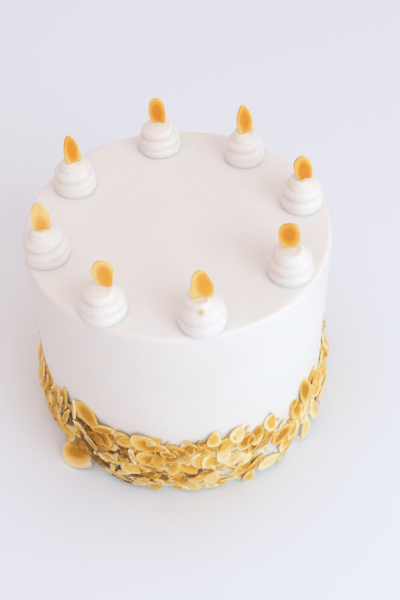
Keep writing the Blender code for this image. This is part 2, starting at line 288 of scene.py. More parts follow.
for vertex in body.verts:
    x, y, z = vertex.co
    reach = math.hypot(x, y)
    if z < FOOT_FLAT or reach < MERGE:
        continue
    off_edge = ((reach - CAKE_RADIUS) ** 2 + (z - CAKE_HEIGHT) ** 2) ** 0.5
    near_edge = max(0.0, 1 - off_edge / EDGE_REACH)
    on_wall = min(1.0, max(0.0, (reach - WALL_FROM) / WALL_FADE)) * min(1.0, z / FOOT_FADE)
    swell = noise.noise(Vector((x, y, z * 0.7)) * WALL_WAVES) - INWARD_AT_WALL
    lip = noise.noise(Vector((x, y, 3.0)) * EDGE_WAVES) - INWARD_AT_EDGE
    outward = WALL_UNEVEN * swell * on_wall + EDGE_UNEVEN * lip * near_edge
    vertex.co.x += x / reach * outward
    vertex.co.y += y / reach * outward
    if z > CAKE_HEIGHT - TOP_INSET:
        swirl = noise.noise(Vector((reach * SWIRL_WAVES, math.atan2(y, x) * 1.2, 5.0)))
        dips = noise.noise(Vector((x, y, 9.0)) * TOP_WAVES)
        on_top = min(1.0, max(0.0, (CAKE_RADIUS - TOP_INSET - reach) / TOP_FADE))
        vertex.co.z += TOP_UNEVEN * (swirl * 0.4 + dips * 0.6 - INWARD_AT_TOP) * on_top
        vertex.co.z += EDGE_UNEVEN * 0.6 * lip * near_edge

iced_body = add_piece("iced_body", body, buttercream)
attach(iced_body, "root")
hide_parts("iced_cake")


# The almond band: whole and broken slices, slivers and crumbs of toasted almond, thrown and
# pressed by hand into the wet icing, the lowest first, so that they overlap upwards in a ragged
# edge. Each is a thin plate with a pale rim and a toasted heart, laid by the solid's own rule.
SLICE_COUNT = 168
SLICE_SEED = 4
SLICE_LENGTH = 0.0168
SLICE_WIDTH = 0.0088
SLICE_THICKNESS = 0.0013
SIZE_SPREAD = 0.16
EGG_SKEW = 0.26
BAND_LOW = 0.0045
BAND_HIGH = 0.0410
BAND_JITTER = 0.0035
ORDER_JITTER = 0.016
PRESSED_IN = 0.00045
FOLLOW = 0.75
LEAN_BACK = -0.10
LEAN_SPREAD = 0.12
TURN_SPREAD = math.radians(40)
PROUD_AT_FOOT = 0.0044
PROUD_AT_TOP = 0.0012
PROUD_HEIGHT = 0.045
FLOOR_CLEAR = 0.0002
PLASTIC = 1.32471795724474602596
STEP_AROUND = 1 / PLASTIC
STEP_UP = 1 / PLASTIC**2

# The slices that stand out: azimuth and turn in degrees, height, length and width in mm, and how
# far each is toasted, from 0, cream, to 1, deep brown
SHOWN_SLICES = (
    (-167, 49, 95, 13, 6, 0.85), (-165, 36, 85, 19, 9, 0.50), (-152, 37, 80, 19, 8, 0.30),
    (-143, 46, 88, 17, 7, 0.75), (-143, 31, 65, 18, 7, 0.60), (-141, 19, 78, 20, 8, 0.50),
    (-130, 47, -33, 19, 11, 0.62), (-133, 28, -5, 17, 10, 0.45), (-122, 43, 4, 15, 6, 0.85),
    (-121, 33, -8, 14, 10, 0.25), (-121, 22, 0, 13, 8, 0.15), (-114, 41, -10, 12, 8, 0.50),
    (-105, 42, -17, 19, 10.5, 0.70), (-110, 31, -87, 14, 6, 0.10), (-104, 29, -19, 17, 9, 0.80),
    (-109, 20, 9, 20, 9, 0.20), (-111, 10, 10, 20, 9, 0.35), (-96, 29, -82, 19, 11, 0.55),
    (-94, 11, -50, 15, 10, 0.65), (-90, 36, -86, 17, 8, 0.35), (-86, 29, -80, 17, 9, 0.25),
    (-80, 45, 80, 10.5, 7.5, 0.40), (-80, 29, 30, 17, 12, 0.50), (-79, 6, -2, 16, 9, 0.55),
    (-75, 39, 25, 14, 9, 0.50), (-71, 45, 50, 11, 8, 0.12), (-68, 36, 40, 12, 8, 0.95),
    (-68, 17, 16, 18, 10, 0.75), (-60, 29, 28, 18, 9, 1.10), (-57, 42, 70, 10.5, 8.5, 0.50),
    (-51, 25, 18, 17, 10, 1.00), (-44, 36, 84, 14, 7, 0.95), (-46, 22, 80, 15, 8, 0.60),
    (-37, 43, 92, 17, 9.5, 1.00), (-38, 26, 88, 18, 10, 0.20), (-22, 34, 70, 18, 9, 0.15),
    (-12, 14, 85, 20, 9, 0.20), (-73, 26, 20, 13, 8, 0.15), (-64, 14, 5, 14, 8, 0.90),
    (-67, 6, 75, 12, 7, 0.45), (-58, 9, 20, 15, 9, 0.05), (-49, 9, 40, 18, 10, 0.45),
    (-37, 10, 80, 16, 9, 0.10), (-28, 12, 95, 17, 9, 0.20), (-20, 14, 75, 16, 8, 0.10),
    (-63, 37, 60, 12, 7.5, 0.90), (-86, 37, -15, 14, 7.5, 0.55), (-10, 43, 85, 14, 7, 0.45),
)
SHOWN_THINNING = 3  # one in so many of the ruled slices makes room for them

# Slices that lean out at the foot: azimuth, height, lean, turn, distance out in mm, how many
FALLEN_SLICES = ((-137, 5.8, 58, 24, 4.4, 2), (20, 4.8, 50, 6, 2.8, 1), (112, 4.8, 46, -7, 2.6, 1))
FALLEN_LENGTH = 0.0202
FALLEN_WIDTH = 0.0104
FALLEN_BEND = (0.0003, 0.0002, 0.0)
FALLEN_TOASTS = (0.95, 0.20)
EVEN_TINT = 0.05
STACK_STEP = (0.0010, -0.0030, -0.00105)

# What fills the band between them: slices tucked beneath, then slivers and crumbs on top, each
# between two heights and two lengths, with its width or shape as shares of its length
TUCKED_SLICES = 340
TUCKED_BAND = (0.004, 0.040)
TUCKED_LENGTHS = (0.009, 0.018)
TUCKED_WIDTHS = (0.45, 0.62)
TUCKED_LEANS = (0.10, 0.16)
TUCKED_PROUD = 0.0019
FILL_THICKNESS = 0.0011
SLIVERS = 640
SLIVER_BAND = (0.004, 0.044)
SLIVER_LENGTHS = (0.005, 0.014)
SLIVER_WIDTHS = (0.10, 0.30)
SLIVER_LEANS = (0.15, 0.22)
SLIVER_THICKNESS = 0.0010
LEVEL_BELOW = 0.014  # lower than this, slivers lie along the foot
FALLEN_CLEAR_BELOW = 0.015  # and there they keep this many radians off the fallen slices
FALLEN_CLEAR = 0.16
CRUMBS = 60
CRUMB_BAND = (0.0015, 0.047)
CRUMB_LENGTHS = (0.0015, 0.0035)
CRUMB_SHAPE = (1.0, 0.6, 0.4)
CRUMB_LEAN = 0.5
CRUMB_SUNK = 0.0003

# They lie thickest and brownest to the front left, where most were pressed on, and thinnest to the
# front right. The brown there is partly the almonds' toast and partly painted shade
CROWD_MEAN = 0.82
CROWD_BARE = -0.60
SHADED_BROWNEST = math.radians(-127)
SHADED_BROWN_WIDTH = math.radians(31)
BAREST = math.radians(-45)
BARE_WIDTH = math.radians(35)
# SHADED_TOAST: how much deeper the brown side's almonds are toasted, as painted shade
SHADED_TOAST = 0.40
PALE_AT_FOOT = 18.5  # how much less the almonds are toasted for each metre down
# painted shade: the brown side's foot is darker instead of paler
SHADE_AT_FOOT = 1.6  # and the share of that by which the brown side's foot is darker instead

# The mean toasting away from the brown side and on it, where it is deeper partly as painted shade,
# then its spread, and the most
RULED_TOASTS = (0.74, 1.30)
RULED_TOAST_SPREAD = 0.30
# The tucked slices show in the gaps; on the brown side they are toasted deepest, as painted shade in
# those gaps
TUCKED_TOASTS_AND_SHADE = (0.65, 1.7)
TUCKED_TOAST_SPREAD = 0.28
TUCKED_MOST = 1.35
SLIVER_TOASTS = (0.6, 1.4)
SLIVER_SHARES = (0.2, 0.6, 0.9, 1.4)
SLIVER_PALEST = 0.1
SLIVER_TOAST_SPREAD = 0.15
SLIVER_MOST = 1.45

# The icing comes out round the almonds by a share of how far they stand out, less where they lie
# thick. Blurring steps smooth it, and it fades out near the band's top
SQUEEZED_STEPS = 8
SQUEEZED_MEAN = 0.20
SQUEEZED_BROWN = -0.10
SQUEEZED_BARE = 0.58
SQUEEZED_TOP = 0.050
SQUEEZED_FADE = 0.014
WALL_SKIN = 0.001  # the wall's points lie at most this far inside its radius
LOOKS_SEED = 21

# No piece reaches further from the cake's axis than this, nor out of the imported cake's box
FILL_REACH = 0.0854
SLICES_REACH = 0.0866
FALLEN_REACH = 0.0950

# Dark brown bits just under the shown slices, in the same terms: painted shade, that shows only in the
# gaps between them
SHADE_BROWN_BITS = (
    (-132, 39, -32, 13, 2.4, 1.6), (-131, 26, -42, 14, 3.4, 1.7), (-109, 14, 6, 13, 3, 1.5),
    (-104, 33, -10, 11, 4, 1.3), (-113, 31, -60, 7, 3, 1.3), (-88, 20, 30, 11, 6, 1.6),
    (-83, 19, 0, 10, 4, 1.4), (-125, 14, -35, 14, 3.5, 1.4), (-98, 15, 70, 9, 4, 1.4),
    (-118, 26, -10, 8, 3, 1.1), (-84, 42, -10, 7, 4, 1.3), (-72, 5, 50, 6, 2, 1.2),
    (-137, 33, -60, 14, 4, 1.4), (-146, 25, 80, 14, 3, 1.3), (-91, 13, 80, 7, 3, 1.3),
)

# Shards on top of them, in the same terms: a white one stood on end, a dark crumb, then the long
# cream, gold and brown ones of the front left
SHARDS = (
    (-136, 46, 98, 14, 3.5, 0.0), (-160, 41, 60, 4, 3, 1.6), (-145, 38, 74, 22, 4.5, 0.6),
    (-143.3, 36, 72, 20, 1.4, 1.3), (-141.5, 33, 70, 19, 4, 0.5), (-139.5, 30, 62, 16, 2, 1.4),
    (-133, 34, -32, 11, 5.5, 0.15), (-128, 27, -46, 13, 4.5, 0.55), (-130.5, 23, -44, 12, 2.6, 1.6),
    (-127, 12, -30, 14, 3.5, 1.1), (-118, 8, -14, 20, 4, 0.05), (-116, 5, -12, 13, 2, 1.3),
    (-107, 9, -2, 18, 4, 0.15), (-115, 21, 22, 16, 2.6, 0.0), (-121, 23, 34, 8, 4.5, 0.05),
    (-110.5, 30, -80, 14, 3.6, 0.0), (-113, 29, -50, 6, 2.6, 1.5), (-117.5, 26, 60, 8, 2.6, 0.1),
    (-124, 30, -38, 12, 3, 0.2), (-104, 24, -12, 15, 4.5, 0.9), (-100, 20, -20, 12, 3, 1.3),
    (-97, 37, -12, 9, 4, 1.1), (-109.5, 13, 3, 10, 1.8, 1.6), (-88, 19.5, 30, 6, 3.2, 1.6),
    (-83, 18.5, 0, 7, 2, 1.4), (-60, 29, 32, 13, 2.6, 1.15), (-66, 37, 60, 7, 4, 1.15),
)

# The rings on a slice's face: how far each is drawn in, as a share of what is left, and how far it
# stands out, as a share of the slice's thickness
SLICE_RINGS = ((0.09, 0.06), (0.28, 0.00))
FALLEN_RINGS = ((0.08, 0.0), (0.12, 0.0), (0.12, 0.0))
RING_INSET = 0.0001  # a ring is made this far in, and then scaled to its place

# How many meshes of each kind are drawn, their sides, and the share of its length that one has lost
WHOLE_MESHES = 6
BROKEN_MESHES = 10
SLICE_SIDES = 14
SLICE_BROKEN = (0.06, 0.30)
SLIVER_MESHES = 8
SLIVER_SIDES = 9
SLIVER_BROKEN = (0.2, 0.55)
CRUMB_MESHES = 4
CRUMB_SIDES = 7
CRUMB_BROKEN = 0.3
FALLEN_SIDES = 28
SHARP_EDGE = math.radians(50)

# How slices differ: in skew and thickness, as shares; in the slant that one has broken off at, in
# bend, in mm, and in where the toasted heart lies
SKEWS = (0.7, 1.25)
THICKNESSES = (0.75, 1.0)
BREAK_SLANT = 0.8
BEND_SPREAD = 0.5
TUCKED_BEND_SPREAD = 0.2
BEND_LEVEL = 0.35  # a bent slice's ends lift and its middle sinks, so it keeps its place
HEART_SPREAD = 0.07
SHOWN_TINTS = 0.4  # the shown slices differ in tint by only this share
SETTLED_BACK = 0.07  # the slices' upper edges have sunk into the icing by this slope


class Wall:
    """How far the almonds already stand out from the cake's wall, over a grid unrolled from it."""

    CELL = 0.0010
    REACH_UP = 0.075

    def __init__(self):
        self.around = round(2 * math.pi * CAKE_RADIUS / self.CELL)
        self.step = 2 * math.pi * CAKE_RADIUS / self.around
        self.proud = np.zeros((self.around, round(self.REACH_UP / self.CELL)))

    def under(self, azimuth, height, turn, length, width):
        """The grid cells beneath a slice, and their offsets along the wall and up it."""
        reach = int(length / 2 / self.CELL) + 2
        span = np.arange(-reach, reach + 1)
        across, up = np.meshgrid(span, span, indexing="ij")
        column = round(azimuth * CAKE_RADIUS / self.step)
        row = int(height / self.CELL)
        along = (column + across) * self.step - azimuth * CAKE_RADIUS
        rise = (row + up + 0.5) * self.CELL - height
        x = along * math.cos(turn) + rise * math.sin(turn)
        y = -along * math.sin(turn) + rise * math.cos(turn)
        limit = 1 - (2 * x / length) ** 2
        inside = (limit > 0) & (row + up >= 0) & (row + up < self.proud.shape[1])
        half = width / 2 * np.sqrt(np.maximum(limit, 0)) * (1 - EGG_SKEW * 2 * x / length)
        inside &= np.abs(y) < half
        cells = ((column + across[inside]) % self.around, row + up[inside])
        return cells, along[inside], rise[inside]

    def settle(self, azimuth, height, turn, length, width, lean, proudest=None):
        """Presses a slice on, no prouder than it may be, and returns its offset and two slopes."""
        cells, along, rise = self.under(azimuth, height, turn, length, width)
        falls_away = along**2 / (2 * CAKE_RADIUS)
        bed = self.proud[cells] - falls_away
        design = np.column_stack([np.ones_like(along), along, rise])
        _, slope_along, slope_up = np.linalg.lstsq(design, bed, rcond=None)[0] * FOLLOW
        slope_along = float(slope_along) + lean[0]
        slope_up = float(slope_up) + lean[1]
        resting = float((bed - slope_along * along - slope_up * rise).max()) - PRESSED_IN
        share = min(1.0, height / PROUD_HEIGHT)
        limit = proudest or PROUD_AT_FOOT + (PROUD_AT_TOP - PROUD_AT_FOOT) * share
        offset = min(resting, limit)
        outer = offset + slope_along * along + slope_up * rise + SLICE_THICKNESS + falls_away
        self.proud[cells] = np.maximum(self.proud[cells], outer)
        return offset, slope_along, slope_up


def wall_frame(azimuth, height, turn, plane):
    """The matrix of a slice on the wall: X along the slice, Z out of its face."""
    offset, slope_along, slope_up = plane
    out = Vector((math.cos(azimuth), math.sin(azimuth), 0))
    along = Vector((-math.sin(azimuth), math.cos(azimuth), 0))
    up = Vector((0, 0, 1))
    normal = (out - slope_along * along - slope_up * up).normalized()
    lengthways = math.cos(turn) * along + math.sin(turn) * up
    lengthways = (lengthways - lengthways.dot(normal) * normal).normalized()
    sideways = normal.cross(lengthways)
    centre = out * (CAKE_RADIUS + offset) + up * height
    return Matrix.Translation(centre) @ Matrix((lengthways, sideways, normal)).transposed().to_4x4()


def above_floor(length, width, place):
    """The place, lifted if any of the slice's inner face would be below the cake's foot."""
    lowest = 0.0
    rim_points = 8
    for k in range(rim_points):
        angle = 2 * math.pi * k / rim_points
        half_width = width / 2 * math.sin(angle) * (1 - EGG_SKEW * math.cos(angle))
        rim_point = place @ Vector((length / 2 * math.cos(angle), half_width, 0))
        lowest = min(lowest, rim_point.z - FLOOR_CLEAR)
    return Matrix.Translation((0, 0, -lowest)) @ place


def slice_shape(draw, sides, rings, broken=0.0, both_faces=False):
    """One slice 1 long and 1 wide with its inner face at z = 0 and its outer at z = 1, as a mesh.
    A broken one has lost that share of its length."""
    shape = bmesh.new()
    phase = draw.uniform(0, 10)
    skew = EGG_SKEW * draw.uniform(*SKEWS)
    for vertex in bmesh.ops.create_circle(shape, cap_ends=True, segments=sides, radius=0.5)["verts"]:
        angle = math.atan2(vertex.co.y, vertex.co.x)
        wobble = 1 + 0.045 * math.sin(3 * angle + phase) + 0.03 * math.sin(5 * angle + 2 * phase)
        vertex.co.x = 0.5 * math.cos(angle) * (0.985 + 0.015 * math.cos(2 * angle + phase))
        vertex.co.y = 0.5 * math.sin(angle) * (1 - skew * math.cos(angle)) * wobble
    if broken:
        bmesh.ops.bisect_plane(
            shape, geom=shape.verts[:] + shape.edges[:] + shape.faces[:], clear_outer=True,
            plane_co=(0.5 - broken, 0, 0),
            plane_no=(1, draw.uniform(-BREAK_SLANT, BREAK_SLANT), 0),
        )
        bmesh.ops.translate(shape, verts=shape.verts[:], vec=(broken / 2, 0, 0))
    inner_face = shape.faces[:][0]
    raised = bmesh.ops.extrude_face_region(shape, geom=[inner_face], use_keep_orig=True)["geom"]
    top = [item for item in raised if isinstance(item, bmesh.types.BMVert)]
    outer_face = [item for item in raised if isinstance(item, bmesh.types.BMFace)][0]
    bmesh.ops.translate(shape, verts=top, vec=(0, 0, 1))
    for face, level, way in ((outer_face, 1, 1), (inner_face, 0, -1))[:1 + both_faces]:
        for inset, lift in rings:
            bmesh.ops.inset_region(shape, faces=[face], thickness=RING_INSET)
            middle = face.calc_center_median()
            for vertex in face.verts:
                vertex.co = middle + (vertex.co - middle) * (1 - inset)
                vertex.co.z = level + way * lift
        bmesh.ops.poke(shape, faces=[face])
    bmesh.ops.recalc_face_normals(shape, faces=shape.faces[:])
    mesh = bpy.data.meshes.new("slice_shape")
    shape.to_mesh(mesh)
    shape.free()
    return mesh


def lay(heap, mesh, size, place, bend, toast, tint, heart=(0.0, 0.0), furthest=FILL_REACH):
    """Adds a copy of a slice to the heap, scaled, bent a little and put in place. Its tone is how far
    each point is from the heart, how far the slice is toasted, and its own tint."""
    length, width, thickness = size
    before = len(heap.verts)
    heap.from_mesh(mesh)
    heap.verts.ensure_lookup_table()
    tone = heap.verts.layers.float_vector["tone"]
    for vertex in heap.verts[before:]:
        x, y, z = vertex.co
        off_heart = min(1.0, 2 * math.hypot(x - heart[0], y - heart[1]))
        ends, sides = 4 * x * x - BEND_LEVEL, 4 * y * y - BEND_LEVEL
        lifted = bend[0] * ends + bend[1] * sides + bend[2] * 4 * x * y
        spot = place @ Vector((x * length, y * width, z * thickness + lifted))
        kept_in = min(1.0, furthest / spot.xy.length)
        spot = (spot.x * kept_in, spot.y * kept_in, spot.z)
        limits = zip(spot, cad_low, cad_high)
        vertex.co = [min(max(value, least), most) for value, least, most in limits]
        vertex[tone] = (off_heart, toast, tint)


def new_heap():
    heap = bmesh.new()
    heap.verts.layers.float_vector.new("tone")
    return heap


def spread(index, low, high):
    """An azimuth and a height in the band. Any run of indices covers it evenly."""
    azimuth = 2 * math.pi * ((index + 0.5) * STEP_AROUND % 1) - math.pi
    return azimuth, low + (high - low) * ((index + 0.5) * STEP_UP % 1)


def near(azimuth, centre, width):
    """1 at the centre, falling to 0 well away from it on either side."""
    return math.exp(-((math.remainder(azimuth - centre, 2 * math.pi) / width) ** 2))


def shaded_brown_side(azimuth):
    """1 where the almonds lie thickest and are brownest, partly painted shade, 0 well away from there.
    """
    return near(azimuth, SHADED_BROWNEST, SHADED_BROWN_WIDTH)


def bare_side(azimuth):
    """1 where the most icing shows between the almonds, 0 well away from there."""
    return near(azimuth, BAREST, BARE_WIDTH)


def crowd(azimuth):
    """The share of the filling pieces that are there at an azimuth."""
    return CROWD_MEAN + (1 - CROWD_MEAN) * shaded_brown_side(azimuth) + CROWD_BARE * bare_side(azimuth)


def toast_and_shade(azimuth, height, palest, brownest):
    """How far the almonds are toasted on average at an azimuth and a height, with painted shade:
    deeper on the brown side, and darker at its foot.
    """
    brown = shaded_brown_side(azimuth)
    paler = PALE_AT_FOOT * (BAND_HIGH - height) * (1 - SHADE_AT_FOOT * brown)
    return palest + (brownest - palest) * brown - paler


draw = random.Random(SLICE_SEED)
looks = random.Random(LOOKS_SEED)
slice_meshes = [slice_shape(looks, SLICE_SIDES, SLICE_RINGS) for _ in range(WHOLE_MESHES)]
for _ in range(BROKEN_MESHES):
    slice_meshes.append(slice_shape(looks, SLICE_SIDES, SLICE_RINGS, looks.uniform(*SLICE_BROKEN)))
sliver_meshes = []
for _ in range(SLIVER_MESHES):
    broken = looks.uniform(*SLIVER_BROKEN)
    sliver_meshes.append(slice_shape(looks, SLIVER_SIDES, SLICE_RINGS[:1], broken))
fallen_mesh = slice_shape(looks, FALLEN_SIDES, FALLEN_RINGS)
heap = new_heap()


def lay_apart(heap, pieces, wall):
    """Lays pieces given in the terms of the shown slices on what is already on the wall."""
    for azimuth, height, turn, length, width, toast in pieces:
        azimuth, turn = math.radians(azimuth), math.radians(turn)
        height, length, width = height / 1000, length / 1000, width / 1000
        plane = wall.settle(azimuth, height, turn, length, width, (0.0, LEAN_BACK), PROUD_AT_FOOT)
        place = above_floor(length, width, wall_frame(azimuth, height, turn, plane))
        # painted shade: pieces on the brown side are toasted deeper
        toast += SHADED_TOAST * shaded_brown_side(azimuth)
        lay(heap, slice_meshes[1], (length, width, FILL_THICKNESS), place, (0, 0, 0), toast, 0.0)


tucked_wall = Wall()
for index in range(SLICE_COUNT, SLICE_COUNT + TUCKED_SLICES):
    azimuth, height = spread(index, *TUCKED_BAND)
    length = looks.uniform(*TUCKED_LENGTHS)
    width = length * looks.uniform(*TUCKED_WIDTHS)
    turn = looks.gauss(0, TURN_SPREAD) + math.pi * looks.randrange(2)
    lean = (looks.gauss(0, TUCKED_LEANS[0]), looks.gauss(LEAN_BACK, TUCKED_LEANS[1]))
    bend = [looks.gauss(0, TUCKED_BEND_SPREAD) / 1000 for _ in range(3)]
    toast = looks.gauss(toast_and_shade(azimuth, height, *TUCKED_TOASTS_AND_SHADE), TUCKED_TOAST_SPREAD)
    toast = min(toast, TUCKED_MOST)
    if looks.random() < crowd(azimuth):
        plane = tucked_wall.settle(azimuth, height, turn, length, width, lean, TUCKED_PROUD)
        place = above_floor(length, width, wall_frame(azimuth, height, turn, plane))
        size = (length, width, FILL_THICKNESS)
        lay(heap, looks.choice(slice_meshes), size, place, bend, toast, looks.random())

ruled = []
for index in range(SLICE_COUNT):
    size = 1 + draw.uniform(-SIZE_SPREAD, SIZE_SPREAD)
    length = SLICE_LENGTH * size
    width = SLICE_WIDTH * (size + draw.uniform(-SIZE_SPREAD, SIZE_SPREAD))
    azimuth, height = spread(index, BAND_LOW, BAND_HIGH)
    height += draw.uniform(-BAND_JITTER, BAND_JITTER)
    turn = draw.gauss(0, TURN_SPREAD) + math.pi * draw.randrange(2)
    lean = (draw.gauss(0, LEAN_SPREAD / 2), draw.gauss(LEAN_BACK, LEAN_SPREAD))
    order = height + draw.uniform(-ORDER_JITTER, ORDER_JITTER)
    half_rise = abs(math.sin(turn)) * length / 2 + abs(math.cos(turn)) * width / 2
    height = max(height, half_rise + FLOOR_CLEAR)
    seen = SHOWN_SLICES[0][0] < math.degrees(azimuth) < SHOWN_SLICES[-1][0]
    toast = looks.gauss(toast_and_shade(azimuth, height, *RULED_TOASTS), RULED_TOAST_SPREAD)
    if index % SHOWN_THINNING or not seen:
        ruled.append((order, azimuth, height, turn, length, width, lean, toast))
placed_slices = [values[1:] for values in sorted(ruled)]
for azimuth, height, turn, length, width, toast in SHOWN_SLICES:
    lean = (draw.gauss(0, LEAN_SPREAD / 4), draw.gauss(LEAN_BACK, LEAN_SPREAD / 4))
    azimuth, turn = math.radians(azimuth), math.radians(turn)
    # painted shade: slices on the brown side are toasted deeper
    toast += SHADED_TOAST * shaded_brown_side(azimuth)
    placed_slices.append((azimuth, height / 1000, turn, length / 1000, width / 1000, lean, toast))

wall = Wall()
for number, (azimuth, height, turn, length, width, lean, toast) in enumerate(placed_slices):
    if number == len(ruled):
        lay_apart(heap, SHADE_BROWN_BITS, copy.deepcopy(wall))
    offset, slope_along, slope_up = wall.settle(azimuth, height, turn, length, width, lean)
    plane = (offset, slope_along, slope_up - SETTLED_BACK)
    place = above_floor(length, width, wall_frame(azimuth, height, turn, plane))
    bend = [looks.gauss(0, BEND_SPREAD) / 1000 for _ in range(3)]
    size = (length, width, SLICE_THICKNESS * looks.uniform(*THICKNESSES))
    heart = (looks.gauss(0, HEART_SPREAD), looks.gauss(0, HEART_SPREAD))
    shown = number >= len(ruled)
    mesh = looks.choice(slice_meshes[:WHOLE_MESHES] if shown else slice_meshes)
    tint = looks.random() * (SHOWN_TINTS if shown else 1.0)
    lay(heap, mesh, size, place, bend, toast, tint, heart, SLICES_REACH)
for azimuth, height, lean, turn, out, stacked in FALLEN_SLICES:
    plane = (out / 1000, 0.0, -math.tan(math.radians(lean)))
    place = wall_frame(math.radians(azimuth), height / 1000, math.radians(turn), plane)
    for toast in FALLEN_TOASTS[:stacked]:
        size = (FALLEN_LENGTH, FALLEN_WIDTH, SLICE_THICKNESS)
        stood = above_floor(FALLEN_LENGTH, FALLEN_WIDTH, place)
        lay(heap, fallen_mesh, size, stood, FALLEN_BEND, toast, EVEN_TINT, furthest=FALLEN_REACH)
        place = place @ Matrix.Translation(STACK_STEP)
lay_apart(heap, SHARDS, wall)

slivers = new_heap()
for index in range(SLIVERS):
    azimuth, height = spread(index, *SLIVER_BAND)
    length = looks.uniform(*SLIVER_LENGTHS)
    width = length * looks.uniform(*SLIVER_WIDTHS)
    turn = looks.gauss(0, 2 * TURN_SPREAD) * min(1.0, height / LEVEL_BELOW)
    lean = (looks.gauss(0, SLIVER_LEANS[0]), looks.gauss(2 * LEAN_BACK, SLIVER_LEANS[1]))
    toast = looks.gauss(SLIVER_PALEST, SLIVER_TOAST_SPREAD)
    toast += toast_and_shade(azimuth, height, *SLIVER_TOASTS) * looks.choice(SLIVER_SHARES)
    toast = min(toast, SLIVER_MOST)
    off_fallen = min(abs(azimuth - math.radians(spec[0])) for spec in FALLEN_SLICES)
    clear = height > FALLEN_CLEAR_BELOW or off_fallen > FALLEN_CLEAR
    if looks.random() < crowd(azimuth) and clear:
        plane = wall.settle(azimuth, height, turn, length, width, lean)
        place = above_floor(length, width, wall_frame(azimuth, height, turn, plane))
        size = (length, width, SLIVER_THICKNESS)
        lay(slivers, looks.choice(sliver_meshes), size, place, (0, 0, 0), toast, looks.random())

crumbs = new_heap()
crumb_meshes = []
for _ in range(CRUMB_MESHES):
    crumb_meshes.append(slice_shape(looks, CRUMB_SIDES, SLICE_RINGS[:1], CRUMB_BROKEN))
for index in range(CRUMBS):
    azimuth, height = spread(index, *CRUMB_BAND)
    length = looks.uniform(*CRUMB_LENGTHS)
    column = round(azimuth * CAKE_RADIUS / wall.step) % wall.around
    proud = float(wall.proud[column, int(height / wall.CELL)])
    lean = (looks.gauss(0, CRUMB_LEAN), looks.gauss(0, CRUMB_LEAN))
    plane = (proud - CRUMB_SUNK, *lean)
    place = wall_frame(azimuth, height, looks.uniform(-math.pi, math.pi), plane)
    place = above_floor(length, length, place)
    size = [length * share for share in CRUMB_SHAPE]
    lay(crumbs, looks.choice(crumb_meshes), size, place, (0, 0, 0), looks.random(), looks.random())

squeezed = np.maximum(wall.proud, tucked_wall.proud)
for _ in range(SQUEEZED_STEPS):
    beside = np.roll(squeezed, 1, 0) + np.roll(squeezed, -1, 0)
    above_and_below = np.pad(squeezed, ((0, 0), (1, 1)), mode="edge")
    squeezed = (beside + above_and_below[:, 2:] + above_and_below[:, :-2] + 2 * squeezed) / 6
for vertex in iced_body.data.vertices:
    x, y, z = vertex.co
    reach = math.hypot(x, y)
    if reach > CAKE_RADIUS - WALL_SKIN and FLOOR_CLEAR < z < wall.REACH_UP:
        azimuth = math.atan2(y, x)
        column = round(azimuth * CAKE_RADIUS / wall.step) % wall.around
        share = SQUEEZED_MEAN + SQUEEZED_BROWN * shaded_brown_side(azimuth)
        share += SQUEEZED_BARE * bare_side(azimuth)
        share *= min(1.0, max(0.0, (SQUEEZED_TOP - z) / SQUEEZED_FADE))
        outward = share * float(squeezed[column, int(z / wall.CELL)])
        vertex.co.x += x / reach * outward
        vertex.co.y += y / reach * outward

ALMOND_CREAM = (0.97, 0.83, 0.52)
ALMOND_GOLD = (0.91, 0.52, 0.075)
ALMOND_AMBER = (0.68, 0.28, 0.018)
ALMOND_BROWN = (0.23, 0.085, 0.010)
ALMOND_PATCHES = 170.0
ALMOND_SPECKLES = 900.0
ALMOND_RELIEF = 0.0003
ALMOND_DEPTH = 0.0012
ALMOND_THROUGH = 0.25
PATCHES_APART = 40.0  # how far along the pattern one slice's patches lie from another's

# Where each step in tone begins and ends: the heart from the rim inwards, then how far toasted the
# almond is where it turns gold, amber and brown
HEART_STEP = (1.0, 0.35)
GOLD_STEP = (0.0, 0.85)
AMBER_STEP = (0.80, 1.50)
BURNT_STEP = (1.15, 1.80)


def almond_material(name, cream, gold, amber, through):
    """Toasted almond: cream at the rim, gold to amber at the heart, brown all over if much toasted."""
    material, shader, wire = new_material(name)
    tone = wire.node("ShaderNodeAttribute", {"attribute_name": "tone"}, {}, "Vector")
    off_heart, toast, tint = (
        tone.node("ShaderNodeSeparateXYZ", {}, {"Vector": tone}, axis) for axis in ("X", "Y", "Z")
    )
    place = wire.node("ShaderNodeTexCoord", {}, {}, "Object")
    patches = place.noise(ALMOND_PATCHES, 3.0, tint * PATCHES_APART)
    speckle = place.noise(ALMOND_SPECKLES, 2.0)
    heart = (off_heart + patches * 0.6 - 0.3).fade(*HEART_STEP)
    mottled = patches * 0.8 + speckle * 0.15 - 0.45
    heartless = tint * 0.9
    toasted_heart = heart * (toast * 0.85 + 0.25) * (1.1 - heartless)
    toasted_over = toast * (heartless * 0.8 + 0.28)
    # The toast read here carries painted shade as well as real toasting, on the band's shaded side and
    # in its gaps
    toasted = toasted_heart + toasted_over + mottled
    colour = toasted.fade(*GOLD_STEP).blend(cream, gold)
    colour = toasted.fade(*AMBER_STEP).blend(colour, amber)
    burnt = (toast + patches * 1.2 - 0.6).fade(*BURNT_STEP)
    plug(burnt.blend(colour, ALMOND_BROWN), shader.inputs["Base Color"])
    plug(speckle * 0.25 + 0.42, shader.inputs["Roughness"])
    rough = patches * 0.7 + speckle * 0.3
    relief = {"Strength": 0.4, "Distance": ALMOND_RELIEF, "Height": rough}
    plug(wire.node("ShaderNodeBump", {}, relief), shader.inputs["Normal"])
    shader.inputs["Specular IOR Level"].default_value = 0.22
    shader.inputs["Subsurface Weight"].default_value = through
    shader.inputs["Subsurface Radius"].default_value = (1.0, 0.55, 0.25)
    shader.inputs["Subsurface Scale"].default_value = ALMOND_DEPTH
    return material


